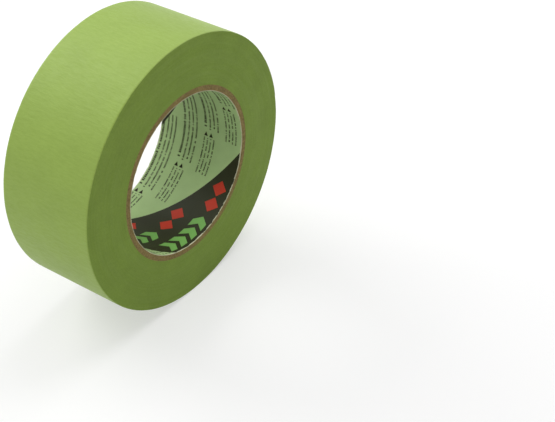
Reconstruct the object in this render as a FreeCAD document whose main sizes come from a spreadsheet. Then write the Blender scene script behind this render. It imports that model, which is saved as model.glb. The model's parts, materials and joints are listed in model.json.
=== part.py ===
"""Masking tape roll: a printed, spiral-wound paper core, the tape wound on it and the tape's free end.

Frame: the core's axis is Y and the origin is the centre of the bore. The roll stands on its tread, +Z up,
and its front face looks along -Y. Angles are seen from the front, from +X towards +Z. Lengths are in mm.
"""
import FreeCAD, Part
import math
import os
import Sketcher

CORE_PLIES = 4
SPARE = 1.0  # how far a cutting profile runs past the piece that it cuts

SIZES = [
    ("tape_width", 48.0, "width of the tape, and so of the core and the roll"),
    ("roll_diameter", 130.6, "over the outermost turn where the free end leaves it"),
    ("bore_diameter", 76.8, "inside the printed liner: goes on a 3 inch (76 mm) hub"),
    ("liner_thickness", 0.25, "printed paper ply that lines the bore"),
    ("ply_thickness", 0.65, "one structural paperboard ply"),
    ("winding_lead", 155.0, "length of core in which a ply's strip goes once round"),
    ("seam_width", 0.3, "open butt seam between a strip's edges, measured along the core"),
    ("seam_start", 205.0, "degrees, where the liner's seam meets the front face"),
    ("seam_stagger", 100.0, "degrees from each ply's seam to the next one's"),
    ("tape_thickness", 0.15, "creped paper backing and adhesive together"),
    ("adhesive_thickness", 0.035, "pressure-sensitive adhesive under the backing"),
    ("lift_gap", 0.03, "between the free end and the turn that it lies on"),
    ("peel_line_angle", 30.0, "degrees, where the free end leaves the roll"),
    ("free_end_angle", 25.0, "degrees of arc from the peel line down to the cut edge"),
]

# Sketcher's numbers for the geometry that holds a sketch's origin and for a curve's own points.
ORIGIN = -1
START, END, CENTRE = 1, 2, 3

doc = FreeCAD.newDocument("masking_tape_roll")
sheet = doc.addObject("Spreadsheet::Sheet", "sizes")


def fill_sheet():
    """One row for each driving dimension: its name, its value and what it is."""
    for row, (alias, value, meaning) in enumerate(SIZES, start=1):
        sheet.set(f"A{row}", alias)
        sheet.set(f"B{row}", str(value))
        sheet.set(f"C{row}", meaning)
        sheet.setAlias(f"B{row}", alias)
    doc.recompute()


def size(alias):
    """The value of a driving dimension, for a sketch's first guess before its constraints settle it."""
    return float(sheet.get(alias))


def bound(expression):
    """The same expression with each driving dimension's name pointed at the sheet."""
    for alias, _, _ in SIZES:
        expression = expression.replace(alias, f"sizes.{alias}")
    return expression


def new_body(label):
    body = doc.addObject("PartDesign::Body", label)
    body.Label = label
    return body


def new_sketch(body, name, role):
    """A sketch on one of the body's own origin planes, such as XZ_Plane."""
    plane = next(feature for feature in body.Origin.OriginFeatures if feature.Role == role)
    sketch = body.newObject("Sketcher::SketchObject", name)
    sketch.AttachmentSupport = [(plane, "")]
    sketch.MapMode = "FlatFace"
    return sketch


def join(sketch, *places):
    """Makes two points of a sketch one point: geometry and point number, twice."""
    sketch.addConstraint(Sketcher.Constraint("Coincident", *places))


def drive(sketch, expression, *constraint):
    """Adds a dimension to a sketch and ties it to the driving dimensions."""
    index = sketch.addConstraint(Sketcher.Constraint(*constraint))
    sketch.setExpression(f"Constraints[{index}]", bound(expression))


def on_ring(radius, degrees):
    """The point of a face-view sketch at this radius and angle."""
    angle = math.radians(degrees)
    return FreeCAD.Vector(radius * math.cos(angle), radius * math.sin(angle), 0)


def arc(sketch, centre, radius, first, last):
    """An arc from the first to the last angle, counter-clockwise and in degrees."""
    whole = Part.Circle(centre, FreeCAD.Vector(0, 0, 1), radius)
    return sketch.addGeometry(Part.ArcOfCircle(whole, math.radians(first), math.radians(last)))


def circle(sketch, radius, expression):
    """A circle about the core's axis."""
    whole = Part.Circle(FreeCAD.Vector(), FreeCAD.Vector(0, 0, 1), radius)
    index = sketch.addGeometry(whole)
    join(sketch, index, CENTRE, ORIGIN, START)
    drive(sketch, expression, "Radius", index, radius)


def spoke(sketch, radius, degrees, expression):
    """A construction line from the core's axis, which holds other points at its angle."""
    index = sketch.addGeometry(Part.LineSegment(FreeCAD.Vector(), on_ring(radius, degrees)), True)
    join(sketch, index, START, ORIGIN, START)
    drive(sketch, expression, "Angle", index, math.radians(degrees))
    return index


def pad_to_width(body, sketch):
    """Pads a face-view profile to the tape's width, half to each side of the middle plane."""
    pad = body.newObject("PartDesign::Pad", "across_the_width")
    pad.Profile = sketch
    pad.Midplane = True
    pad.setExpression("Length", bound("tape_width"))
    doc.recompute()


def core_ply(label, inner, thickness, turns_of_stagger):
    """A paper strip wound into a tube: a ring with the butt seam between the strip's edges cut through it.

    The seam is a right-handed helix. inner and thickness are expressions for the ply's inner radius and wall.
    """
    body = new_body(label)
    ring = new_sketch(body, "ring", "XZ_Plane")
    near = size("bore_diameter") / 2
    circle(ring, near, inner)
    circle(ring, near + 1, f"{inner} + {thickness}")
    pad_to_width(body, ring)

    seam = new_sketch(body, "seam", "XY_Plane")
    low = -size("tape_width") / 2
    corners = [(near - 1, low), (near + 2, low), (near + 2, low - 1), (near - 1, low - 1)]
    points = [FreeCAD.Vector(across, along, 0) for across, along in corners]
    for side, (first, second) in enumerate(zip(points, points[1:] + points[:1])):
        seam.addGeometry(Part.LineSegment(first, second))
        seam.addConstraint(Sketcher.Constraint("Vertical" if side % 2 else "Horizontal", side))
    for side in range(4):
        join(seam, side, END, (side + 1) % 4, START)
    drive(seam, f"{inner} - {SPARE}", "DistanceX", ORIGIN, START, 0, START, near)
    drive(seam, f"{thickness} + 2 * {SPARE}", "DistanceX", 0, START, 0, END, 1)
    drive(seam, f"tape_width / 2 + {SPARE}", "DistanceY", 0, START, ORIGIN, START, 1)
    drive(seam, "seam_width", "DistanceY", 1, END, 1, START, 1)
    doc.recompute()

    slit = body.newObject("PartDesign::SubtractiveHelix", "butt_seam")
    slit.Profile = seam
    slit.ReferenceAxis = (seam, ["V_Axis"])
    slit.Mode = "pitch-height-angle"
    slit.setExpression("Pitch", bound("winding_lead"))
    slit.setExpression("Height", bound(f"tape_width + seam_width + 2 * {SPARE}"))
    body.Placement.Rotation = FreeCAD.Rotation(FreeCAD.Vector(0, 1, 0), 1)
    lead_in = f"360 * {SPARE} / winding_lead"
    turned = f"seam_start + {turns_of_stagger} * seam_stagger + {lead_in}"
    body.setExpression("Placement.Rotation.Angle", bound(f"-({turned})"))
    doc.recompute()
    return body


def wound_tape():
    """All the turns as one solid, on the core: outside, a spiral that grows by one turn in a revolution.

    Two arcs make the spiral. Past the peel line the outside is one turn lower, where the free end lies on it.
    """
    body = new_body("wound_tape")
    coil = new_sketch(body, "coil", "XZ_Plane")
    circle(coil, size("bore_diameter") / 2 + 3, f"bore_diameter / 2 + {CORE_THICKNESS}")
    outer = size("roll_diameter") / 2
    step = size("tape_thickness") + size("lift_gap")
    root = size("peel_line_angle")
    line = spoke(coil, outer, root, "peel_line_angle")
    drive(coil, "roll_diameter / 2", "Distance", line, outer)
    low_half = arc(coil, FreeCAD.Vector(), outer - step, root + 180, root + 360)
    high_half = arc(coil, on_ring(step / 2, root), outer - step / 2, root, root + 180)
    ledge = coil.addGeometry(Part.LineSegment(on_ring(outer - step, root), on_ring(outer, root)))
    join(coil, low_half, CENTRE, ORIGIN, START)
    join(coil, high_half, START, line, END)
    join(coil, high_half, END, low_half, START)
    join(coil, low_half, END, ledge, START)
    join(coil, ledge, END, line, END)
    coil.addConstraint(Sketcher.Constraint("PointOnObject", high_half, CENTRE, line))
    coil.addConstraint(Sketcher.Constraint("PointOnObject", high_half, END, line))
    coil.addConstraint(Sketcher.Constraint("PointOnObject", low_half, END, line))
    drive(coil, "roll_diameter / 2 - tape_thickness - lift_gap", "Radius", low_half, outer - step)
    pad_to_width(body, coil)
    return body


def free_layer(label, outer_radius, inner_radius):
    """A layer of the tape's free end, curved as it lies on the roll, from the peel line to the cut edge.

    The radii are expressions. The cut edge is square across the tape.
    """
    body = new_body(label)
    layer = new_sketch(body, "layer", "XZ_Plane")
    outer = size("roll_diameter") / 2
    inner = outer - size("tape_thickness") / 2
    root = size("peel_line_angle")
    tip = root - size("free_end_angle")
    root_line = spoke(layer, outer, root, "peel_line_angle")
    tip_line = spoke(layer, outer, tip, "peel_line_angle - free_end_angle")
    outside = arc(layer, FreeCAD.Vector(), outer, tip, root)
    inside = arc(layer, FreeCAD.Vector(), inner, tip, root)
    root_edge = layer.addGeometry(Part.LineSegment(on_ring(inner, root), on_ring(outer, root)))
    cut_edge = layer.addGeometry(Part.LineSegment(on_ring(inner, tip), on_ring(outer, tip)))
    for curve in (outside, inside):
        join(layer, curve, CENTRE, ORIGIN, START)
    join(layer, outside, END, root_line, END)
    join(layer, outside, START, tip_line, END)
    join(layer, inside, END, root_edge, START)
    join(layer, inside, START, cut_edge, START)
    join(layer, outside, END, root_edge, END)
    join(layer, outside, START, cut_edge, END)
    layer.addConstraint(Sketcher.Constraint("PointOnObject", inside, END, root_line))
    layer.addConstraint(Sketcher.Constraint("PointOnObject", inside, START, tip_line))
    drive(layer, outer_radius, "Radius", outside, outer)
    drive(layer, inner_radius, "Radius", inside, inner)
    pad_to_width(body, layer)
    return body


CORE_THICKNESS = f"liner_thickness + {CORE_PLIES} * ply_thickness"


def build_pieces():
    pieces = [core_ply("core_liner", "bore_diameter / 2", "liner_thickness", 0)]
    for ply in range(1, CORE_PLIES + 1):
        inner = f"bore_diameter / 2 + liner_thickness + {ply - 1} * ply_thickness"
        pieces.append(core_ply(f"core_ply_{ply}", inner, "ply_thickness", ply))
    pieces.append(wound_tape())
    backing_underside = "roll_diameter / 2 - tape_thickness + adhesive_thickness"
    pieces.append(free_layer("tape_end", "roll_diameter / 2", backing_underside))
    pieces.append(free_layer("tape_end_adhesive", backing_underside, "roll_diameter / 2 - tape_thickness"))
    return pieces


def check(pieces):
    """Stops before anything is written if an object failed or a piece isn't one sound solid."""
    for item in doc.Objects:
        if "Invalid" in item.State or "Error" in item.State:
            raise RuntimeError(f"{item.Label} did not build: {item.State}")
    for piece in pieces:
        shape = piece.Shape
        if shape.isNull() or not shape.isValid() or len(shape.Solids) != 1:
            raise RuntimeError(f"{piece.Label} is not one valid solid")


fill_sheet()
pieces = build_pieces()
doc.recompute()
check(pieces)
os.makedirs("parts", exist_ok=True)
for piece in pieces:
    piece.Shape.exportStep(f"parts/{piece.Label}.step")
    print(f"{piece.Label}: {piece.Shape.Volume / 1000:.3f} cm3")
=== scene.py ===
"""Dresses the masking tape roll: creped paper tape on a kraft core, with a printed liner in the bore."""
import json
import math

import bpy
import numpy as np
from mathutils import Matrix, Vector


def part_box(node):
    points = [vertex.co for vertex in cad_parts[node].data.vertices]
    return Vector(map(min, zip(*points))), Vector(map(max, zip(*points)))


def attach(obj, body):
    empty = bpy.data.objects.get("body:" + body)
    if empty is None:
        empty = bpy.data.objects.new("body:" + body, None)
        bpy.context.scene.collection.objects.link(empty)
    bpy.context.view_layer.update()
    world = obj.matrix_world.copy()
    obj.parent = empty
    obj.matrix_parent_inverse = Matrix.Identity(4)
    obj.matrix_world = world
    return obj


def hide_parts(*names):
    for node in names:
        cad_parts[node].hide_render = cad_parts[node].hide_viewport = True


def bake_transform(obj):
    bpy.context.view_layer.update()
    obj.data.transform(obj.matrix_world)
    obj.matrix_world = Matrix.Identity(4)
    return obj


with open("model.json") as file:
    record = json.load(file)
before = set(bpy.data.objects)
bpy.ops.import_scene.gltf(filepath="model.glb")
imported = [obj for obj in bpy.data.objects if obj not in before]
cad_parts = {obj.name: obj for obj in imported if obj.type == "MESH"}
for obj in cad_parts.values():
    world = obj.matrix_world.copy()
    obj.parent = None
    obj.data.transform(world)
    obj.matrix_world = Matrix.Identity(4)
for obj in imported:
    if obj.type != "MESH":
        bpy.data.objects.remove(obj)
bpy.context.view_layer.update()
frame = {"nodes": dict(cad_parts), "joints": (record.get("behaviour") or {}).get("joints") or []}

bl_info = {
    "name": "Masking Tape Roll",
    "version": (1, 0, 0),
    "blender": (4, 5, 0),
    "location": "3D View > Sidebar > Tape Roll",
    "description": "Builds the creped tape, the kraft core, its printed liner and a plain studio",
    "category": "Add Mesh",
}

MM = 0.001
TURN = 2 * math.pi


# ---------------------------------------------------------------- the frame's own sizes


def cad_points(node):
    """A CAD node's vertices as an array."""
    return np.array([vertex.co for vertex in frame["nodes"][node].data.vertices])


def cad_radii(node):
    """The smallest and largest distance of a CAD node's vertices from the core's axis."""
    points = cad_points(node)
    distance = np.hypot(points[:, 0], points[:, 2])
    return float(distance.min()), float(distance.max())


def angle_of(points):
    """Angles about the core's axis, from +X towards +Z, as seen from the front."""
    return np.arctan2(points[..., 2], points[..., 0])


BORE_RADIUS, LINER_OUTSIDE = cad_radii("core_liner")
CORE_RADIUS = cad_radii("core_ply_4")[1]
ROLL_RADIUS = cad_radii("wound_tape")[1]
HALF_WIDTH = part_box("wound_tape")[1].y
PEEL_POINT = np.array(frame["joints"][0]["pos_m"])
PEEL_ANGLE = float(angle_of(PEEL_POINT))
TIP_ANGLE = float(angle_of(cad_points("tape_end")).min())
TREAD_LOW = -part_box("wound_tape")[0].z
TURN_STEP = ROLL_RADIUS - TREAD_LOW

# The free end's backing runs on past the peel line by this much, and the outer turn starts there.
PEEL_OVERLAP = math.radians(6)


# ---------------------------------------------------------------- sizes and colours to change


def linear(code):
    """An sRGB hex colour as the linear values that Blender mixes."""
    channels = [int(code[place:place + 2], 16) / 255 for place in (0, 2, 4)]
    return [c / 12.92 if c <= 0.04045 else ((c + 0.055) / 1.055) ** 2.4 for c in channels]


def number(name, description, default):
    """A plain number that the user can change."""
    return bpy.props.FloatProperty(name=name, description=description, default=default, min=0)


def length(name, description, default):
    """A length that the user can change, in metres."""
    return bpy.props.FloatProperty(
        name=name, description=description, default=default, min=0, precision=5, unit="LENGTH"
    )


def angle(name, description, degrees):
    """An angle that the user can change, given in degrees and kept in radians."""
    return bpy.props.FloatProperty(
        name=name, description=description, default=math.radians(degrees), subtype="ANGLE"
    )


def colour(name, description, code):
    """A colour that the user can change, given as sRGB hex."""
    return bpy.props.FloatVectorProperty(
        name=name, description=description, default=linear(code), min=0, max=1, size=3, subtype="COLOR"
    )


class TapeSizes(bpy.types.PropertyGroup):
    """The creped tape: its thickness and how rough it is."""

    tape_thickness: length("Tape thickness", "Backing and adhesive together", 0.15 * MM)
    adhesive_thickness: length("Adhesive thickness", "Adhesive film under the backing", 0.035 * MM)
    crease_height: length("Crease height", "Depth of the crepe's creases", 0.034 * MM)
    crease_pitch: length("Crease pitch", "Distance from crease to crease round the roll", 0.9 * MM)
    turn_shift: length("Turn shift", "How far single turns lie behind the roll's faces", 0.035 * MM)
    rim_round: length("Rim rounding", "Rounding where the outer turns meet the faces", 0.5 * MM)


class CoreSizes(bpy.types.PropertyGroup):
    """The spiral-wound core."""

    plies: bpy.props.IntProperty(name="Kraft plies", description="Plies outside the liner", default=4, min=1)
    winding_lead: length("Winding lead", "Length of core in which a strip goes once round", 155 * MM)
    seam_start: angle("Seam start", "Where the liner's seam meets the front face", 205)
    seam_stagger: angle("Seam stagger", "From each ply's seam to the next one's", 100)
    seam_gap: length("Seam gap", "Open butt seam, measured along the core", 0.3 * MM)
    cut_roughness: length("Cut roughness", "Unevenness of the sawn core ends", 0.12 * MM)
    worn_rim: length("Worn rim", "Width of the rubbed edge of the liner's print", 0.3 * MM)


class PrintSizes(bpy.types.PropertyGroup):
    """The liner's print."""

    first_band: angle("First band", "From the seam to the first dark band", 45)
    second_band: angle("Second band", "From the seam to the second dark band", 246)
    band_width: angle("Band width", "Width of a dark band", 95)
    row_pitch: length("Row pitch", "From one row of the print to the next, along the core", 12.6 * MM)
    mark_height: length("Mark height", "Height of the large marks", 7.8 * MM)


class Finishes(bpy.types.PropertyGroup):
    """The colours of all the finishes."""

    backing: colour("Crepe paper", "Face of the creped backing", "90AB46")
    turn_edges: colour("Turn edges", "Cut edges of the wound turns", "839E3D")
    kraft: colour("Kraft board", "Cut ends of the core's plies", "978352")
    liner_paper: colour("Liner paper", "Printed pale ground of the liner", "B1CD8F")
    raw_paper: colour("Raw paper", "Torn and cut edges of the liner", "D9D8B8")
    dark_ink: colour("Dark ink", "Bands and fine print", "2A2D15")
    green_ink: colour("Green ink", "Large green marks", "79B15A")
    red_ink: colour("Red ink", "Large red marks", "C23A24")
    adhesive: colour("Adhesive", "Adhesive film under the tape", "C9CC8C")


class StageSizes(bpy.types.PropertyGroup):
    """Camera and light."""

    camera_place: bpy.props.FloatVectorProperty(
        name="Camera", description="Where the camera stands", default=(-0.3442, -0.3387, 0.3456),
        subtype="TRANSLATION",
    )
    camera_heading: angle("Heading", "The view's direction on the floor, from +X towards +Y", 37.71)
    camera_pitch: angle("Pitch", "How far the view points down", 38.4)
    camera_roll: angle("Roll", "Turn of the camera about its own view", -2.36)
    lens: number("Lens", "Focal length in mm on a 36 mm sensor", 85.1)
    lamp_level: number("Lamps", "Level of all the lamps", 1.0)
    sky_level: number("Sky", "Strength of the even light from all round", 0.226)
    floor_white: number("Floor white", "White that the floor shows beyond its own", 0.25)


# ---------------------------------------------------------------- nodes and materials

# Nearly all of a noise texture's values lie between these two.
PATTERN_LOW, PATTERN_HIGH = 0.3, 0.7


def add(tree, kind, *wires, **settings):
    """Adds a node. Settings are its properties. A wire is a socket with its value or a linked output."""
    node = tree.nodes.new(kind)
    for name, value in settings.items():
        setattr(node, name, value)
    for socket, value in wires:
        if isinstance(value, bpy.types.NodeSocket):
            tree.links.new(value, node.inputs[socket])
        else:
            node.inputs[socket].default_value = value
    return node


def new_material(name):
    """An empty material with its shader and output: the material, its tree and the shader."""
    material = bpy.data.materials.new(name)
    material.use_nodes = True
    tree = material.node_tree
    tree.nodes.clear()
    shader = add(tree, "ShaderNodeBsdfPrincipled")
    add(tree, "ShaderNodeOutputMaterial", ("Surface", shader.outputs[0]))
    return material, tree, shader


def mottled(tree, rgb, *layers):
    """A colour varied by layers, each a pattern with the factors that its low and its high parts give."""
    for pattern, low, high in layers:
        tint = add(
            tree, "ShaderNodeMapRange", ("Value", pattern),
            ("From Min", PATTERN_LOW), ("From Max", PATTERN_HIGH),
            ("To Min", low), ("To Max", high),
        ).outputs[0]
        rgb = add(tree, "ShaderNodeVectorMath", (0, rgb), (1, tint), operation="MULTIPLY").outputs[0]
    return rgb


def surface(tree, shader, rgb, relief, depth, roughness):
    """Gives the shader a colour, a relief of this depth, and a roughness that falls as the relief rises."""
    bump = add(tree, "ShaderNodeBump", ("Height", relief), ("Strength", 1.0), ("Distance", depth)).outputs[0]
    rough = add(
        tree, "ShaderNodeMapRange", ("Value", relief), ("From Min", PATTERN_LOW), ("From Max", PATTERN_HIGH),
        ("To Min", roughness[1]), ("To Max", roughness[0]),
    ).outputs[0]
    tree.links.new(rgb, shader.inputs["Base Color"])
    tree.links.new(bump, shader.inputs["Normal"])
    tree.links.new(rough, shader.inputs["Roughness"])


def creped_backing(finishes):
    """Creped saturated paper, dyed through: matt, with fine creases across the tape and faint clouds."""
    material, tree, shader = new_material("creped_saturated_paper")
    place = add(tree, "ShaderNodeTexCoord").outputs["Object"]
    across = add(tree, "ShaderNodeMapping", ("Vector", place), ("Scale", (1, 0.2, 1))).outputs[0]
    crease = add(
        tree, "ShaderNodeTexNoise", ("Vector", across), ("Scale", 1 / (0.9 * MM)), ("Detail", 3.0),
        ("Roughness", 0.6),
    ).outputs[0]
    cloud = add(
        tree, "ShaderNodeTexNoise", ("Vector", place), ("Scale", 1 / (14 * MM)), ("Detail", 3.0)
    ).outputs[0]
    fibre = add(
        tree, "ShaderNodeTexNoise", ("Vector", place), ("Scale", 1 / (0.35 * MM)), ("Detail", 2.0)
    ).outputs[0]
    wrinkle = add(
        tree, "ShaderNodeTexNoise", ("Vector", across), ("Scale", 1 / (0.45 * MM)), ("Detail", 1.0)
    ).outputs[0]
    relief = add(
        tree, "ShaderNodeMath", (0, fibre), (1, 0.3), (2, crease), operation="MULTIPLY_ADD"
    ).outputs[0]
    relief = add(
        tree, "ShaderNodeMath", (0, wrinkle), (1, 0.6), (2, relief), operation="MULTIPLY_ADD"
    ).outputs[0]
    relief = add(tree, "ShaderNodeMath", (0, relief), (1, 0.45), operation="SUBTRACT").outputs[0]
    body = mottled(tree, finishes.backing, (cloud, 0.965, 1.035), (crease, 0.965, 1.035), (fibre, 0.96, 1.04))
    surface(tree, shader, body, relief, 0.043 * MM, (0.5, 0.68))
    shader.inputs["Specular IOR Level"].default_value = 0.45
    shader.inputs["Sheen Weight"].default_value = 0.12
    shader.inputs["Sheen Roughness"].default_value = 0.5
    return material


def wound_edges(finishes):
    """Slit edges of the wound turns: smoother and deeper in colour than the tread, with faint rings.

    The turns are 0.15 mm thick, too fine to show, so the spiral line between them is drawn at a wider pitch.
    """
    drawn_pitch = 0.6 * MM
    material, tree, shader = new_material("slit_paper_edges")
    place = add(tree, "ShaderNodeTexCoord").outputs["Object"]
    flat = add(tree, "ShaderNodeVectorMath", (0, place), (1, (1, 0, 1)), operation="MULTIPLY").outputs[0]
    radius = add(tree, "ShaderNodeVectorMath", (0, flat), operation="LENGTH").outputs["Value"]
    heading = add(tree, "ShaderNodeVectorMath", (0, flat), operation="NORMALIZE").outputs[0]
    outward = add(tree, "ShaderNodeMath", (0, radius), (1, 20.0), operation="MULTIPLY").outputs[0]
    outward = add(tree, "ShaderNodeCombineXYZ", ("Y", outward)).outputs[0]
    ring = add(
        tree, "ShaderNodeVectorMath", (0, heading), (1, (25 * MM, 0, 25 * MM)), (2, outward),
        operation="MULTIPLY_ADD",
    ).outputs[0]
    rings = add(
        tree, "ShaderNodeTexNoise", ("Vector", ring), ("Scale", 1 / (16 * MM)), ("Detail", 4.0),
        ("Roughness", 0.6),
    ).outputs[0]
    cloud = add(
        tree, "ShaderNodeTexNoise", ("Vector", place), ("Scale", 1 / (9 * MM)), ("Detail", 3.0)
    ).outputs[0]
    speck = add(
        tree, "ShaderNodeTexNoise", ("Vector", place), ("Scale", 1 / (0.5 * MM)), ("Detail", 2.0)
    ).outputs[0]
    grain = add(
        tree, "ShaderNodeTexNoise", ("Vector", place), ("Scale", 1 / (1.2 * MM)), ("Detail", 2.0)
    ).outputs[0]
    side = add(tree, "ShaderNodeSeparateXYZ", (0, flat)).outputs
    turned = add(tree, "ShaderNodeMath", (0, side["Z"]), (1, side["X"]), operation="ARCTAN2").outputs[0]
    turns = add(tree, "ShaderNodeMath", (0, radius), (1, 1 / drawn_pitch), operation="MULTIPLY").outputs[0]
    phase = add(
        tree, "ShaderNodeMath", (0, turned), (1, 1 / TURN), (2, turns), operation="MULTIPLY_ADD"
    ).outputs[0]
    line = add(tree, "ShaderNodeMath", (0, phase), (1, 0.5), operation="PINGPONG").outputs[0]
    relief = add(tree, "ShaderNodeMath", (0, line), (1, 0.5), (2, rings), operation="MULTIPLY_ADD").outputs[0]
    relief = add(
        tree, "ShaderNodeMath", (0, speck), (1, 0.5), (2, relief), operation="MULTIPLY_ADD"
    ).outputs[0]
    relief = add(tree, "ShaderNodeMath", (0, relief), (1, 0.38), operation="SUBTRACT").outputs[0]
    body = mottled(
        tree, finishes.turn_edges, (cloud, 0.95, 1.04), (rings, 0.98, 1.02), (line, 0.99, 1.01),
        (speck, 0.94, 1.06), (grain, 0.95, 1.05),
    )
    surface(tree, shader, body, relief, 0.012 * MM, (0.5, 0.75))
    shader.inputs["Specular IOR Level"].default_value = 0.25
    return material


def kraft_board(finishes):
    """Unbleached kraft board, sawn across its plies: brown, matt, with short fibres that lie round the core.

    Single fibres are 0.03 mm thick, too fine to show, so their clumps are drawn as flecks of 1 mm.
    """
    material, tree, shader = new_material("unbleached_kraft_board")
    place = add(tree, "ShaderNodeTexCoord").outputs["Object"]
    flat = add(tree, "ShaderNodeVectorMath", (0, place), (1, (1, 0, 1)), operation="MULTIPLY").outputs[0]
    radius = add(tree, "ShaderNodeVectorMath", (0, flat), operation="LENGTH").outputs["Value"]
    heading = add(tree, "ShaderNodeVectorMath", (0, flat), operation="NORMALIZE").outputs[0]
    outward = add(tree, "ShaderNodeMath", (0, radius), (1, 12.0), operation="MULTIPLY").outputs[0]
    outward = add(tree, "ShaderNodeCombineXYZ", ("Y", outward)).outputs[0]
    ring = add(
        tree, "ShaderNodeVectorMath", (0, heading), (1, (60 * MM, 0, 60 * MM)), (2, outward),
        operation="MULTIPLY_ADD",
    ).outputs[0]
    fibres = add(
        tree, "ShaderNodeTexNoise", ("Vector", ring), ("Scale", 1 / (1.6 * MM)), ("Detail", 4.0),
        ("Roughness", 0.65),
    ).outputs[0]
    fleck = add(
        tree, "ShaderNodeTexNoise", ("Vector", place), ("Scale", 1 / (1.0 * MM)), ("Detail", 3.0)
    ).outputs[0]
    cloud = add(
        tree, "ShaderNodeTexNoise", ("Vector", place), ("Scale", 1 / (5 * MM)), ("Detail", 2.0)
    ).outputs[0]
    body = mottled(tree, finishes.kraft, (fibres, 0.78, 1.16), (fleck, 0.72, 1.26), (cloud, 0.87, 1.1))
    surface(tree, shader, body, fibres, 0.04 * MM, (0.8, 0.95))
    shader.inputs["Specular IOR Level"].default_value = 0.3
    return material


def printed_paper(name, rgb, roughness):
    """Machine-finished paper, bare or under a flat ink: even colour, a faint paper grain and a low gloss."""
    material, tree, shader = new_material(name)
    place = add(tree, "ShaderNodeTexCoord").outputs["Object"]
    cloud = add(
        tree, "ShaderNodeTexNoise", ("Vector", place), ("Scale", 1 / (6 * MM)), ("Detail", 3.0)
    ).outputs[0]
    grain = add(
        tree, "ShaderNodeTexNoise", ("Vector", place), ("Scale", 1 / (0.3 * MM)), ("Detail", 2.0)
    ).outputs[0]
    body = mottled(tree, rgb, (cloud, 0.96, 1.03), (grain, 0.97, 1.03))
    surface(tree, shader, body, grain, 0.005 * MM, (roughness - 0.08, roughness + 0.08))
    shader.inputs["Specular IOR Level"].default_value = 0.15
    return material


def adhesive_film(finishes):
    """Natural rubber adhesive: a thin tacky film that glistens and follows the backing's creases."""
    material, tree, shader = new_material("natural_rubber_adhesive")
    place = add(tree, "ShaderNodeTexCoord").outputs["Object"]
    across = add(tree, "ShaderNodeMapping", ("Vector", place), ("Scale", (1, 0.2, 1))).outputs[0]
    crease = add(
        tree, "ShaderNodeTexNoise", ("Vector", across), ("Scale", 1 / (0.9 * MM)), ("Detail", 3.0)
    ).outputs[0]
    body = mottled(tree, finishes.adhesive, (crease, 0.94, 1.04))
    surface(tree, shader, body, crease, 0.02 * MM, (0.2, 0.36))
    return material


# ---------------------------------------------------------------- meshes


def grid_faces(columns, rows, round_columns=False, round_rows=False):
    """Quads over a grid of points numbered along its rows first, closed where asked."""
    column = np.arange(columns if round_columns else columns - 1)
    row = np.arange(rows if round_rows else rows - 1)
    c, r = np.meshgrid(column, row, indexing="ij")
    c2, r2 = (c + 1) % columns, (r + 1) % rows
    corners = [c * rows + r, c2 * rows + r, c2 * rows + r2, c * rows + r2]
    return np.stack(corners, -1).reshape(-1, 4)


def at(radius, turned, along):
    """Points at these radii, angles and places along the core, as one array."""
    radius, turned, along = np.broadcast_arrays(radius, turned, along)
    return np.stack([radius * np.cos(turned), along, radius * np.sin(turned)], -1)


# An edge between faces that meet at more than this is sharp.
SHARP_EDGE = math.radians(40)


def new_piece(name, points, faces, materials, chosen=None):
    """A mesh object from points and faces, smooth but for its sharper edges.

    chosen gives each face's place in the list of materials.
    """
    mesh = bpy.data.meshes.new(name)
    mesh.from_pydata(points.reshape(-1, 3).tolist(), [], [list(face) for face in faces])
    for material in materials:
        mesh.materials.append(material)
    if chosen is not None:
        mesh.polygons.foreach_set("material_index", np.asarray(chosen, np.int32))
    mesh.shade_smooth()
    mesh.set_sharp_from_angle(angle=SHARP_EDGE)
    mesh.update()
    piece = bpy.data.objects.new(name, mesh)
    bpy.context.scene.collection.objects.link(piece)
    return piece


def soft_noise(seed, shape, spread):
    """Random heights with a deviation of one, on a grid that joins up at its ends, blurred by spread."""
    field = np.fft.fft2(np.random.default_rng(seed).standard_normal(shape))
    across, along = np.meshgrid(np.fft.fftfreq(shape[0]), np.fft.fftfreq(shape[1]), indexing="ij")
    field *= np.exp(-2 * (math.pi * across * spread[0]) ** 2 - 2 * (math.pi * along * spread[1]) ** 2)
    field = np.fft.ifft2(field).real
    return (field - field.mean()) / field.std()


def turn_radius(turned):
    """The outside of the wound tape: two arcs that lose one turn from the peel line round to it again."""
    past = np.mod(turned - PEEL_ANGLE, TURN)
    offset = TURN_STEP / 2
    high = offset * np.cos(past) + np.sqrt((ROLL_RADIUS - offset) ** 2 - (offset * np.sin(past)) ** 2)
    return np.where(past < math.pi, high, TREAD_LOW)


COLUMNS_AROUND = 1200
CREASE_CELLS = 96

# Blurred noise has a bump about every so many times its spread.
PITCH_OF_SPREAD = 2.6


def crease_depth(sizes, column, along):
    """How deep the crepe lies under its highest creases at these columns and places across the tape."""
    cell = TURN * ROLL_RADIUS / COLUMNS_AROUND
    strip = 2 * HALF_WIDTH / CREASE_CELLS
    crease_length, patch_length, patch_width = 1.6 * MM, 11 * MM, 9 * MM
    spread = (sizes.crease_pitch / cell / PITCH_OF_SPREAD, crease_length / strip)
    fine = soft_noise(7, (COLUMNS_AROUND, CREASE_CELLS), spread)
    broad = soft_noise(8, (COLUMNS_AROUND, CREASE_CELLS), (patch_length / cell, patch_width / strip))
    height = np.clip(0.5 + 0.28 * fine + 0.12 * broad, 0, 1)
    place = np.clip((along + HALF_WIDTH) / strip - 0.5, 0, CREASE_CELLS - 1)
    low = np.floor(place).astype(int)
    high = np.minimum(low + 1, CREASE_CELLS - 1)
    part = place - low
    rows = height[np.mod(column, COLUMNS_AROUND)]
    return sizes.crease_height * (1 - (rows[:, low] * (1 - part) + rows[:, high] * part))


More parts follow.
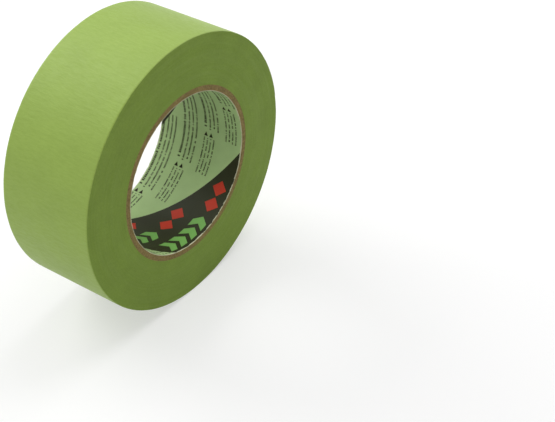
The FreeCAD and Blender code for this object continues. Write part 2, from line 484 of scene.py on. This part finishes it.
def strip_rows(sizes):
    """Places across the tape, close together at the rims, and how far the rim's rounding lowers each."""
    setback, margin, middle_rows = 0.02 * MM, 2.4 * MM, 19
    edge = HALF_WIDTH - setback
    near = np.array([0, 0.05, 0.15, 0.35, 0.7, 1.3]) * MM
    middle = np.linspace(-edge + margin, edge - margin, middle_rows)
    along = np.concatenate([-edge + near, middle, (edge - near)[::-1]])
    reach = np.clip(1 - (edge - np.abs(along)) / sizes.rim_round, 0, 1)
    return along, 0.35 * sizes.rim_round * reach ** 2


def strip(name, sizes, first, last, thickness, inward, material, radius_of=turn_radius):
    """A length of tape on the roll between two column numbers, closed at its ends.

    inward is how far the layer's outside lies under the tape's own outside.
    """
    columns = np.arange(first, last + 1)
    turned = columns * TURN / COLUMNS_AROUND
    along, rounding = strip_rows(sizes)
    wander = soft_noise(9, (COLUMNS_AROUND, 1), (6, 0))[np.mod(columns, COLUMNS_AROUND)]
    rim_width, sway, furthest = 2 * MM, 0.02 * MM, 1.5
    rim = (np.abs(along) > HALF_WIDTH - rim_width) * np.sign(along)
    sideways = -sway * (np.clip(wander, -furthest, furthest) + furthest) * rim
    top = radius_of(turned)[:, None] - inward - crease_depth(sizes, columns, along) - rounding
    inside = at(top - thickness, turned[:, None], along + sideways)
    outside = at(top, turned[:, None], along + sideways)[:, ::-1]
    points = np.concatenate([inside, outside], 1)
    rows = points.shape[1]
    faces = [tuple(face) for face in grid_faces(len(columns), rows, round_rows=True)]
    half = rows // 2
    for cap, flip in ((0, False), ((len(columns) - 1) * rows, True)):
        for row in range(half - 1):
            face = (cap + row, cap + row + 1, cap + rows - 2 - row, cap + rows - 1 - row)
            faces.append(face[::-1] if flip else face)
    return new_piece(name, points, faces, [material])


def column_at(turned):
    """The number of the strip's column nearest to this angle."""
    return round(turned / TURN * COLUMNS_AROUND)


# ---------------------------------------------------------------- operators


def settings():
    """The roll's own settings in the scene."""
    return bpy.context.scene.tape_roll


class OBJECT_OT_wound_tape(bpy.types.Operator):
    """Builds the wound turns: the outermost turn as a strip, and the turns under it with their slit edges"""

    bl_idname = "tape_roll.wound_tape"
    bl_label = "Wound tape"

    def execute(self, context):
        sizes, finishes = settings().tape, settings().finishes
        edges = wound_edges(finishes)
        inner = self.inner_turns(sizes, edges)
        first, last = column_at(PEEL_ANGLE + PEEL_OVERLAP), column_at(PEEL_ANGLE + TURN)
        outer = strip("outer_turn", sizes, first, last, sizes.tape_thickness, 0, creped_backing(finishes))
        for piece in (inner, outer):
            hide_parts("wound_tape")
            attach(piece, "roll")
        return {"FINISHED"}

    def inner_turns(self, sizes, material):
        """The turns under the outermost one: a closed ring whose faces show each turn's small shift."""
        columns, rings = 720, 46
        clearance, shoulder_height = 0.005 * MM, 0.18 * MM
        face_setback, shoulder_setback = 0.03 * MM, 0.6 * MM
        turned = np.arange(columns) * TURN / columns
        top = turn_radius(turned) - sizes.tape_thickness - sizes.crease_height - clearance
        out = np.linspace(0, 1, rings)
        radius = CORE_RADIUS + (top[:, None] - shoulder_height - CORE_RADIUS) * out
        faces_of = []
        for seed, side in ((21, -1), (22, 1)):
            turns = soft_noise(seed, (1, rings), (0, 0.7))
            arcs = soft_noise(seed + 10, (columns, rings), (26, 1.0))
            broad = soft_noise(seed + 20, (columns, rings), (60, 9))
            shift = np.clip(0.4 + 0.22 * turns + 0.16 * arcs + 0.12 * broad, 0, 1) * sizes.turn_shift
            face = at(radius, turned[:, None], side * (HALF_WIDTH - face_setback - shift))
            shoulder = at(top, turned, side * (HALF_WIDTH - shoulder_setback))[:, None]
            faces_of.append(np.concatenate([face, shoulder], 1))
        points = np.concatenate([faces_of[0][:, ::-1], faces_of[1]], 1)
        return new_piece("inner_turns", points, grid_faces(columns, points.shape[1], True, True), [material])


def helix_turn(sizes, along):
    """How far a strip of the core has turned by this place along it, from the front face."""
    return -TURN * (along + HALF_WIDTH) / sizes.winding_lead


def wound_ply(name, sizes, inner, outer, seam, seed, materials, bands=(), worn=0.0):
    """A ply of the core: a strip wound into a tube, with its butt seam open and uneven ends.

    bands are angles from the seam, each with its width, where the inside takes the second material. The cut
    ends, the outside, the seam's edges and most of the inside within the worn distance of an end take the
    last one.
    """
    columns, rows = 360, 49
    setback, chamfer, bevel = 0.01 * MM, 0.06 * MM, min(0.05 * MM, (outer - inner) / 4)
    gap = TURN * sizes.seam_gap / sizes.winding_lead
    from_seam = np.radians(np.linspace(0, 360, columns + 1))
    from_seam[0], from_seam[-1] = gap / 2, TURN - gap / 2
    ends = []
    for number, side in enumerate((-1, 1)):
        rough = soft_noise(seed + number, (columns + 1, 1), (1.2, 0))[:, 0]
        nicks = np.clip(soft_noise(seed + 5 + number, (columns + 1, 1), (2.5, 0))[:, 0] - 1.1, 0, 2)
        depth = np.clip(0.35 + 0.25 * rough + 0.5 * nicks, 0, 2) * sizes.cut_roughness
        ends.append(side * (HALF_WIDTH - setback - depth))
    share = np.linspace(0, 1, rows)
    if worn:
        wander = np.clip(soft_noise(seed + 9, (columns + 1, 1), (1.5, 0)), -2, 2)
        rub = worn * (1 + 0.35 * wander) / (2 * HALF_WIDTH)
        share = np.concatenate([0 * rub, rub, 0 * rub + share[2:-2], 1 - rub, 1 + 0 * rub], 1)
    wall = ends[0][:, None] + chamfer + (ends[1] - ends[0] - 2 * chamfer)[:, None] * share
    loop = [(inner, wall[:, row]) for row in range(rows)]
    loop += [(inner + bevel, ends[1]), (outer - bevel, ends[1])]
    loop += [(outer, wall[:, row]) for row in reversed(range(rows))]
    loop += [(outer - bevel, ends[0]), (inner + bevel, ends[0])]
    points = np.stack([at(r, seam + from_seam + helix_turn(sizes, y), y) for r, y in loop], 1)
    faces = grid_faces(columns + 1, len(loop), round_rows=True)
    row_of = np.tile(np.arange(len(loop)), columns)
    angle_at = np.repeat((from_seam[:-1] + from_seam[1:]) / 2, len(loop))
    chosen = np.where(row_of < rows - 1, 0, len(materials) - 1)
    for start, width in bands:
        inked = (row_of < rows - 1) & (angle_at > start) & (angle_at < start + width)
        chosen = np.where(inked, 1, chosen)
    if worn:
        bare = np.repeat(soft_noise(seed + 11, (columns, 1), (1.8, 0))[:, 0] > -0.75, len(loop))
        chosen = np.where(bare & np.isin(row_of, (0, rows - 2)), len(materials) - 1, chosen)
    faces = [tuple(face) for face in faces]
    chosen = list(chosen)
    total = len(loop)
    for cap, flip in ((0, False), (columns * total, True)):
        for row in range(rows - 1):
            face = (cap + row, cap + row + 1, cap + 2 * rows - row, cap + 2 * rows + 1 - row)
            faces.append(face[::-1] if flip else face)
            chosen.append(len(materials) - 1)
        for face in ((rows - 1, rows, rows + 1, rows + 2), (0, 2 * rows + 1, 2 * rows + 2, 2 * rows + 3)):
            face = tuple(cap + corner for corner in face)
            faces.append(face[::-1] if flip else face)
            chosen.append(len(materials) - 1)
    return new_piece(name, points, faces, materials, chosen)


class OBJECT_OT_core_plies(bpy.types.Operator):
    """Builds the core's kraft plies, each with its own seam and cut ends"""

    bl_idname = "tape_roll.core_plies"
    bl_label = "Kraft plies"

    def execute(self, context):
        sizes = settings().core
        kraft = kraft_board(settings().finishes)
        for ply in range(1, sizes.plies + 1):
            inner, outer = cad_radii(f"core_ply_{ply}")
            seam = sizes.seam_start + ply * sizes.seam_stagger
            piece = wound_ply(f"kraft_ply_{ply}", sizes, inner, outer, seam, 40 + 10 * ply, [kraft])
            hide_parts(f"core_ply_{ply}")
            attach(piece, "roll")
        return {"FINISHED"}


class OBJECT_OT_core_liner(bpy.types.Operator):
    """Builds the liner of the bore: pale paper with two dark bands that follow its winding"""

    bl_idname = "tape_roll.core_liner"
    bl_label = "Liner"

    def execute(self, context):
        sizes, marks, finishes = settings().core, settings().marks, settings().finishes
        materials = [
            printed_paper("pale_printed_paper", finishes.liner_paper, 0.55),
            printed_paper("dark_ink_on_paper", finishes.dark_ink, 0.5),
            printed_paper("raw_paper_edge", finishes.raw_paper, 0.85),
        ]
        bands = [(marks.first_band, marks.band_width), (marks.second_band, marks.band_width)]
        piece = wound_ply(
            "printed_liner", sizes, BORE_RADIUS, LINER_OUTSIDE, sizes.seam_start, 90, materials, bands,
            sizes.worn_rim,
        )
        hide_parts("core_liner")
        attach(piece, "roll")
        return {"FINISHED"}


# The print is laid out flat in four rows: X runs round the bore and Y along the core from its front face.
# Then it is wrapped on the bore, with a small lift off the liner's paper.
PRINT_ROWS = 4
PRINT_LIFT = 0.03 * MM


def bore_print_tree():
    """Geometry nodes that set a flat mark out in a block, drop some, repeat the block and wrap them all.

    The rows step round the bore with the core's winding.
    """
    weld = 0.001 * MM
    tree = bpy.data.node_groups.new("bore_print", "GeometryNodeTree")
    sockets = {}
    for name, kind in (
        ("Mark", "Geometry"), ("Columns", "Int"), ("Lines", "Int"), ("Block width", "Float"),
        ("Block height", "Float"), ("Block middle", "Vector"), ("Wander", "Vector"), ("Smallest", "Vector"),
        ("Largest", "Vector"), ("Left out", "Float"), ("Seed", "Int"), ("Rows", "Int"),
        ("Row step", "Vector"), ("Wall radius", "Float"), ("Half width", "Float"), ("Ink", "Material"),
    ):
        sockets[name] = tree.interface.new_socket(
            name, in_out="INPUT", socket_type=f"NodeSocket{kind}"
        ).identifier
    tree.interface.new_socket("Geometry", in_out="OUTPUT", socket_type="NodeSocketGeometry")
    given = add(tree, "NodeGroupInput").outputs
    grid = add(
        tree, "GeometryNodeMeshGrid", ("Size X", given["Block width"]), ("Size Y", given["Block height"]),
        ("Vertices X", given["Columns"]), ("Vertices Y", given["Lines"]),
    ).outputs[0]
    back = add(
        tree, "ShaderNodeVectorMath", (0, given["Wander"]), ("Scale", -1.0), operation="SCALE"
    ).outputs[0]
    drift = add(
        tree, "FunctionNodeRandomValue", ("Min", back), ("Max", given["Wander"]), ("Seed", given["Seed"]),
        data_type="FLOAT_VECTOR",
    ).outputs[0]
    moved = add(tree, "ShaderNodeVectorMath", (0, given["Block middle"]), (1, drift)).outputs[0]
    cells = add(tree, "GeometryNodeSetPosition", ("Geometry", grid), ("Offset", moved)).outputs[0]
    dropped = add(
        tree, "FunctionNodeRandomValue", ("Probability", given["Left out"]), ("Seed", given["Seed"]),
        data_type="BOOLEAN",
    ).outputs[3]
    kept = add(tree, "GeometryNodeDeleteGeometry", ("Geometry", cells), ("Selection", dropped)).outputs[0]
    size = add(
        tree, "FunctionNodeRandomValue", ("Min", given["Smallest"]), ("Max", given["Largest"]),
        ("Seed", given["Seed"]), data_type="FLOAT_VECTOR",
    ).outputs[0]
    block = add(
        tree, "GeometryNodeInstanceOnPoints", ("Points", kept), ("Instance", given["Mark"]), ("Scale", size)
    ).outputs[0]
    starts = add(
        tree, "GeometryNodeMeshLine", ("Count", given["Rows"]), ("Offset", given["Row step"]), mode="OFFSET"
    ).outputs[0]
    rows = add(tree, "GeometryNodeInstanceOnPoints", ("Points", starts), ("Instance", block)).outputs[0]
    loose = add(tree, "GeometryNodeRealizeInstances", (0, rows)).outputs[0]
    flat = add(tree, "GeometryNodeMergeByDistance", ("Geometry", loose), ("Distance", weld)).outputs[0]
    place = add(tree, "ShaderNodeSeparateXYZ", (0, add(tree, "GeometryNodeInputPosition").outputs[0])).outputs
    turned = add(
        tree, "ShaderNodeMath", (0, place["X"]), (1, given["Wall radius"]), operation="DIVIDE"
    ).outputs[0]
    right = add(tree, "ShaderNodeMath", (0, turned), operation="COSINE").outputs[0]
    right = add(
        tree, "ShaderNodeMath", (0, right), (1, given["Wall radius"]), operation="MULTIPLY"
    ).outputs[0]
    up = add(tree, "ShaderNodeMath", (0, turned), operation="SINE").outputs[0]
    up = add(tree, "ShaderNodeMath", (0, up), (1, given["Wall radius"]), operation="MULTIPLY").outputs[0]
    along = add(
        tree, "ShaderNodeMath", (0, place["Y"]), (1, given["Half width"]), operation="SUBTRACT"
    ).outputs[0]
    wrapped = add(tree, "ShaderNodeCombineXYZ", ("X", right), ("Y", along), ("Z", up)).outputs[0]
    on_bore = add(tree, "GeometryNodeSetPosition", ("Geometry", flat), ("Position", wrapped)).outputs[0]
    inked = add(tree, "GeometryNodeSetMaterial", ("Geometry", on_bore), ("Material", given["Ink"])).outputs[0]
    add(tree, "NodeGroupOutput", (0, inked))
    return tree, sockets


def flat_mark(name, outlines, ink, steps=1):
    """A mesh of flat four-cornered shapes given in the print's own plane, cut into steps from side to side.

    Each outline runs along its lower side and back along its upper side.
    """
    points, faces = [], []
    for lower_left, lower_right, upper_right, upper_left in outlines:
        start = len(points)
        for share in np.linspace(0, 1, steps + 1):
            for left, right in ((lower_left, lower_right), (upper_left, upper_right)):
                points.append(
                    (left[0] + (right[0] - left[0]) * share, left[1] + (right[1] - left[1]) * share, 0)
                )
        for step in range(steps):
            low = start + 2 * step
            faces.append((low, low + 2, low + 3, low + 1))
    return new_piece(name, np.array(points), faces, [ink])


def print_on_bore(tree, sockets, piece, left, low, pitch, columns, lines=1, line_pitch=0.0, **values):
    """Sets a flat mark out on the bore from this left and low corner, and makes that the piece's mesh."""
    wide, high = (columns - 1) * pitch, (lines - 1) * line_pitch
    given = {
        "Columns": columns, "Lines": lines, "Block width": wide, "Block height": high,
        "Block middle": (left + wide / 2, low + high / 2, 0), "Wander": (0, 0, 0), "Smallest": (1, 1, 1),
        "Largest": (1, 1, 1), "Left out": 0.0, "Seed": 1, "Rows": 1, "Row step": (0, 0, 0),
        "Wall radius": BORE_RADIUS - PRINT_LIFT, "Half width": HALF_WIDTH, "Ink": piece.data.materials[0],
        **values,
    }
    modifier = piece.modifiers.new("print", "NODES")
    modifier.node_group = tree
    for name, value in given.items():
        modifier[sockets[name]] = value
    mesh = bpy.data.meshes.new_from_object(piece.evaluated_get(bpy.context.evaluated_depsgraph_get()))
    piece.modifiers.remove(modifier)
    piece.data = mesh
    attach(piece, "roll")


class OBJECT_OT_liner_print(bpy.types.Operator):
    """Prints the liner: chevrons and lozenges on the dark bands, and fine strokes on the pale ground"""

    bl_idname = "tape_roll.liner_print"
    bl_label = "Liner print"

    def execute(self, context):
        core, marks, finishes = settings().core, settings().marks, settings().finishes
        tree, sockets = bore_print_tree()
        green = printed_paper("green_ink_on_paper", finishes.green_ink, 0.5)
        red = printed_paper("red_ink_on_paper", finishes.red_ink, 0.5)
        dark = printed_paper("dark_fine_print", finishes.dark_ink, 0.55)
        per_length = TURN / core.winding_lead * BORE_RADIUS
        rows = {"Rows": PRINT_ROWS, "Row step": (-per_length * marks.row_pitch, marks.row_pitch, 0)}
        tall, low = marks.mark_height, 2.0 * MM
        chevrons, chevron_pitch, chevron_margin = 4, 7.0 * MM, 2 * MM
        lozenges, lozenge_pitch, lozenge_margin = 2, 8.4 * MM, 18 * MM
        for number, band in enumerate((marks.first_band, marks.second_band), start=1):
            left = (core.seam_start + band) * BORE_RADIUS - per_length * low
            room = marks.band_width * BORE_RADIUS - per_length * tall
            chevron = self.chevron(f"green_chevrons_{number}", tall, green)
            start = left + chevron_margin
            print_on_bore(tree, sockets, chevron, start, low, chevron_pitch, chevrons, **rows)
            lozenge = self.lozenge(f"red_lozenges_{number}", tall, red)
            start = left + room - lozenge_margin
            print_on_bore(tree, sockets, lozenge, start, low, lozenge_pitch, lozenges, **rows)
        for number, band in enumerate((marks.first_band, marks.second_band), start=1):
            left = (core.seam_start + (band + marks.band_width)) * BORE_RADIUS
            self.fine_print(tree, sockets, dark, number, left, rows)
        return {"FINISHED"}

    def chevron(self, name, tall, ink):
        """One arrowhead stripe that points round the bore."""
        wide, reach = 4.3 * MM, 3.1 * MM
        lower = [(0, 0), (wide, 0), (wide + reach, tall / 2), (reach, tall / 2)]
        upper = [(reach, tall / 2), (wide + reach, tall / 2), (wide, tall), (0, tall)]
        return flat_mark(name, [lower, upper], ink, 4)

    def lozenge(self, name, tall, ink):
        """One lozenge, as wide as it is high."""
        half = tall / 2
        left = [(0, half), (half, 0), (half, tall), (0, half)]
        right = [(half, 0), (tall, half), (tall, half), (half, tall)]
        return flat_mark(name, [left, right], ink, 4)

    def fine_print(self, tree, sockets, ink, number, left, rows):
        """Lines of small upright strokes with gaps, like close-set small print with nothing to read.

        The table's places and sizes are in mm.
        """
        left_out = 0.14
        for name, start, low, pitch, columns, lines, drop, height in (
            ("bold", 24.0, 8.0, 0.95, 44, 1, 0.0, 1.5),
            ("long", 24.0, 0.9, 0.62, 64, 3, 2.3, 1.0),
            ("short", 1.5, 3.0, 0.6, 30, 4, 1.9, 0.85),
        ):
            stroke = flat_mark(f"{name}_print_lines_{number}", [[(0, 0), (MM, 0), (MM, MM), (0, MM)]], ink)
            print_on_bore(
                tree, sockets, stroke, left + start * MM, low * MM, pitch * MM, columns, lines, drop * MM,
                **rows,
                **{"Smallest": (0.55 * pitch, 0.75 * height, 1), "Largest": (0.85 * pitch, height, 1)},
                **{"Left out": left_out, "Seed": 10 * number + lines},
            )
        tip = (2.2 * MM, 1.1 * MM)
        pointer = flat_mark(f"pointer_marks_{number}", [[(0, 0), tip, tip, (0, 2.2 * MM)]], ink)
        print_on_bore(tree, sockets, pointer, left + 20.2 * MM, 4.2 * MM, 1.0, 1, 2, 3.0 * MM, **rows)


class OBJECT_OT_torn_rims(bpy.types.Operator):
    """Adds the torn paper that the saw leaves where the liner meets the roll's faces"""

    bl_idname = "tape_roll.torn_rims"
    bl_label = "Torn rims"

    def execute(self, context):
        tree, sockets = bore_print_tree()
        torn = printed_paper("torn_paper_fibres", settings().finishes.raw_paper, 0.9)
        heights = ((0, 0.1), (0.35, 0.5), (0.6, 1.0), (1, 0.15))
        inset, shreds_around = 0.04 * MM, 210
        for name, edge, way, seed in (("front", inset, 1, 31), ("back", 2 * HALF_WIDTH - inset, -1, 32)):
            shreds = []
            for (left, left_high), (right, right_high) in zip(heights, heights[1:]):
                low, high = [(left, 0), (right, 0)], [(right, right_high), (left, left_high)]
                outline = low + high if way > 0 else [(x, -y) for x, y in high[::-1] + low[::-1]]
                shreds.append([(x * MM, y * MM) for x, y in outline])
            flake = flat_mark(f"torn_paper_{name}", shreds, torn)
            print_on_bore(
                tree, sockets, flake, 0.0, edge, TURN * BORE_RADIUS / shreds_around, shreds_around,
                **{"Smallest": (0.25, 0.05, 1), "Largest": (1.5, 0.5, 1), "Wander": (0.9 * MM, 0.02 * MM, 0)},
                **{"Left out": 0.35, "Seed": seed},
            )
        return {"FINISHED"}


class OBJECT_OT_free_end(bpy.types.Operator):
    """Builds the tape's free end at rest: the backing and the adhesive under it, lying on the roll from its
    tip to the peel line
    """

    bl_idname = "tape_roll.free_end"
    bl_label = "Free end"

    def execute(self, context):
        sizes, finishes = settings().tape, settings().finishes
        backing_depth = sizes.tape_thickness - sizes.adhesive_thickness
        tip, root = column_at(TIP_ANGLE), column_at(PEEL_ANGLE)
        beyond = column_at(PEEL_ANGLE + PEEL_OVERLAP)

        def lying(turned):
            """The radius of the outside at rest: level up to the peel line, then the roll's own spiral."""
            return np.where(turned < PEEL_ANGLE, ROLL_RADIUS, turn_radius(turned))

        paper = bpy.data.materials.get("creped_saturated_paper") or creped_backing(finishes)
        backing = strip("free_end_backing", sizes, tip, beyond, backing_depth, 0, paper, lying)
        film = strip(
            "free_end_adhesive", sizes, tip, root, sizes.adhesive_thickness, backing_depth,
            adhesive_film(finishes), lying,
        )
        for piece, node, finish in (
            (backing, "tape_end", "crepe_paper"), (film, "tape_end_adhesive", "adhesive"),
        ):
            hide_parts(node)
            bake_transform(piece)
            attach(piece, "roll")
        return {"FINISHED"}


class OBJECT_OT_stage(bpy.types.Operator):
    """Adds the white floor, the soft light and the camera"""

    bl_idname = "tape_roll.stage"
    bl_label = "Studio"

    def execute(self, context):
        stage = settings().stage
        scene = context.scene
        scene.view_settings.view_transform = "Standard"
        self.floor(stage)
        self.sky(stage)
        for name, power, size, place in (
            ("overhead_softbox", 4.2, 1.5, (-0.1, 0, 1.3)), ("left_softbox", 4.5, 1.0, (-1.4, 0, 0.35)),
            ("back_softbox", 13.7, 1.0, (0, 1.2, 0.8)), ("right_softbox", 6.9, 0.9, (0.7, -0.1, 1.1)),
        ):
            self.lamp(name, power * stage.lamp_level, size, place)
        self.camera(stage)
        return {"FINISHED"}

    def seen(self, tree):
        """One for rays from the camera, straight or by way of gloss or clear material, or else zero."""
        path = add(tree, "ShaderNodeLightPath").outputs
        gloss = add(
            tree, "ShaderNodeMath", (0, path["Is Camera Ray"]), (1, path["Is Glossy Ray"]),
            operation="MAXIMUM",
        )
        return add(
            tree, "ShaderNodeMath", (0, gloss.outputs[0]), (1, path["Is Transmission Ray"]),
            operation="MAXIMUM",
        ).outputs[0]

    def floor(self, stage):
        """A wide white floor that keeps the roll's shadow.

        What the camera sees of it is partly plain white up to near, and all plain white from far.
        """
        reach, near, far, least = 4.0, 0.25, 0.9, 0.35
        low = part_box("wound_tape")[0].z
        corners = np.array(
            [(-reach, -reach, low), (reach, -reach, low), (reach, reach, low), (-reach, reach, low)]
        )
        material, tree, shader = new_material("white_floor")
        place = add(tree, "ShaderNodeTexCoord").outputs["Object"]
        away = add(tree, "ShaderNodeVectorMath", (0, place), operation="LENGTH").outputs["Value"]
        away = add(
            tree, "ShaderNodeMapRange", ("Value", away), ("From Min", near), ("From Max", far),
            ("To Min", least),
        ).outputs[0]
        seen = self.seen(tree)
        glow = add(tree, "ShaderNodeMath", (0, seen), (1, stage.floor_white), operation="MULTIPLY").outputs[0]
        shader.inputs["Base Color"].default_value = (0.8, 0.8, 0.8, 1)
        shader.inputs["Roughness"].default_value = 1.0
        shader.inputs["Specular IOR Level"].default_value = 0.0
        shader.inputs["Emission Color"].default_value = (1, 1, 1, 1)
        tree.links.new(glow, shader.inputs["Emission Strength"])
        white = add(tree, "ShaderNodeEmission", ("Color", (1, 1, 1, 1)), ("Strength", 1.0)).outputs[0]
        fade = add(tree, "ShaderNodeMath", (0, seen), (1, away), operation="MULTIPLY").outputs[0]
        mixed = add(tree, "ShaderNodeMixShader", (0, fade), (1, shader.outputs[0]), (2, white)).outputs[0]
        tree.links.new(mixed, tree.nodes["Material Output"].inputs["Surface"])
        new_piece("floor", corners, [(0, 1, 2, 3)], [material])

    def sky(self, stage):
        """An even sky: white where the camera sees it, softer as light."""
        world = bpy.data.worlds.new("studio")
        bpy.context.scene.world = world
        world.use_nodes = True
        tree = world.node_tree
        tree.nodes.clear()
        strength = add(
            tree, "ShaderNodeMapRange", ("Value", self.seen(tree)), ("To Min", stage.sky_level),
            ("To Max", 1.0),
        ).outputs[0]
        light = add(tree, "ShaderNodeBackground", ("Strength", strength), ("Color", (1, 1, 1, 1)))
        add(tree, "ShaderNodeOutputWorld", ("Surface", light.outputs[0]))

    def lamp(self, name, power, size, place):
        """A square soft lamp that points at the roll."""
        light = bpy.data.lights.new(name, "AREA")
        light.energy = power
        light.size = size
        lamp = bpy.data.objects.new(name, light)
        lamp.location = place
        lamp.rotation_euler = (-lamp.location).to_track_quat("-Z", "Y").to_euler()
        bpy.context.scene.collection.objects.link(lamp)

    def camera(self, stage):
        """The camera, on a sensor 36 mm wide, turned, tipped and rolled as the settings say."""
        view = bpy.data.cameras.new("camera")
        view.sensor_width = 36
        view.lens = stage.lens
        camera = bpy.data.objects.new("camera", view)
        turn = Matrix.Rotation(stage.camera_heading - math.pi / 2, 4, "Z")
        tip = Matrix.Rotation(math.pi / 2 - stage.camera_pitch, 4, "X")
        roll = Matrix.Rotation(stage.camera_roll, 4, "Z")
        camera.matrix_world = Matrix.Translation(stage.camera_place) @ turn @ tip @ roll
        bpy.context.scene.collection.objects.link(camera)
        bpy.context.scene.camera = camera


class TapeRoll(bpy.types.PropertyGroup):
    """All the settings, by piece."""

    tape: bpy.props.PointerProperty(type=TapeSizes)
    core: bpy.props.PointerProperty(type=CoreSizes)
    marks: bpy.props.PointerProperty(type=PrintSizes)
    finishes: bpy.props.PointerProperty(type=Finishes)
    stage: bpy.props.PointerProperty(type=StageSizes)


STEPS = [
    OBJECT_OT_wound_tape, OBJECT_OT_core_plies, OBJECT_OT_core_liner, OBJECT_OT_liner_print,
    OBJECT_OT_torn_rims, OBJECT_OT_free_end, OBJECT_OT_stage,
]


class VIEW3D_PT_tape_roll(bpy.types.Panel):
    """Lists the steps that build the roll, and their settings"""

    bl_label = "Tape Roll"
    bl_space_type = "VIEW_3D"
    bl_region_type = "UI"
    bl_category = "Tape Roll"

    def draw(self, context):
        for step in STEPS:
            self.layout.operator(step.bl_idname)
        for group in ("tape", "core", "marks", "finishes", "stage"):
            box = self.layout.box()
            values = getattr(context.scene.tape_roll, group)
            for name in values.bl_rna.properties.keys():
                if name not in ("rna_type", "name"):
                    box.prop(values, name)


CLASSES = [TapeSizes, CoreSizes, PrintSizes, Finishes, StageSizes, TapeRoll, *STEPS, VIEW3D_PT_tape_roll]


def register():
    """Adds the add-on's classes and its settings."""
    for item in CLASSES:
        bpy.utils.register_class(item)
    bpy.types.Scene.tape_roll = bpy.props.PointerProperty(type=TapeRoll)


def unregister():
    """Takes the add-on's classes and its settings out again."""
    del bpy.types.Scene.tape_roll
    for item in reversed(CLASSES):
        bpy.utils.unregister_class(item)


def main():
    """Registers the add-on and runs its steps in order."""
    register()
    for step in STEPS:
        group, name = step.bl_idname.split(".")
        getattr(getattr(bpy.ops, group), name)()


if __name__ == "__main__":
    main()
